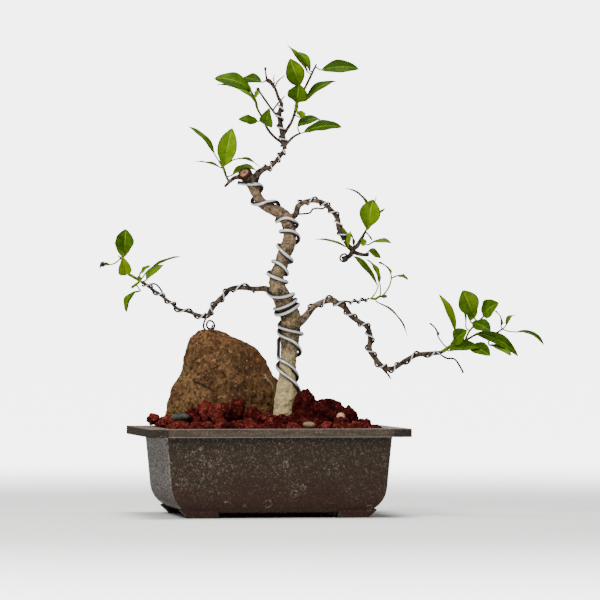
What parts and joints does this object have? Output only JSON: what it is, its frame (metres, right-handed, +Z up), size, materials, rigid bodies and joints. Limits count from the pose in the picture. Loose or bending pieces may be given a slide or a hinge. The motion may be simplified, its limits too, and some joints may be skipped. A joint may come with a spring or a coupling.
{
  "type": "chinese banyan bonsai",
  "caption": "Young Chinese banyan fig wired for bonsai training beside a stone, in an oblong brown plastic pot with short feet, topped with red lava gravel.",
  "frame": {"origin": "middle of the whole object's box in plan, on the surface that the feet stand on; the pot's own middle lies 53.8 mm to the left of it", "axes": "+X along the pot's length to the right as seen from the front, +Y to the back, +Z up"},
  "size_m": [0.4366, 0.204, 0.471],
  "materials": {
    "pot_plastic": "satin brown with pale water marks",
    "mesh_plastic": "black",
    "soil": "crumbly dark bark and peat mix",
    "lava": "rough, pitted",
    "blue_pebble": "smooth",
    "tan_pebble": "smooth",
    "orange_pebble": "smooth",
    "stone": "rough, cracked",
    "bark": "matt bark",
    "wire": "bright annealed wire",
    "leaf": "glossy leaf"
  },
  "bodies": {
    "root": {"pot": "pot_plastic", "drain_net_left": "mesh_plastic", "drain_net_right": "mesh_plastic", "soil": "soil", "lava_gravel": "lava", "pebble_blue": "blue_pebble", "pebble_tan": "tan_pebble", "pebble_orange": "orange_pebble", "stone": "stone", "trunk": "bark", "wire_trunk": "wire", "wire_trunk_second": "wire", "wire_left": "wire", "wire_upper_right": "wire", "wire_lower_right": "wire", "wire_lower_twig": "wire", "wire_crown": "wire", "spray_crown": "leaf", "spray_crown_left": "leaf", "spray_left": "leaf", "spray_upper_right": "leaf", "spray_lower_twig": "leaf", "spray_lower_right": "leaf"}
  },
  "joints": []
}
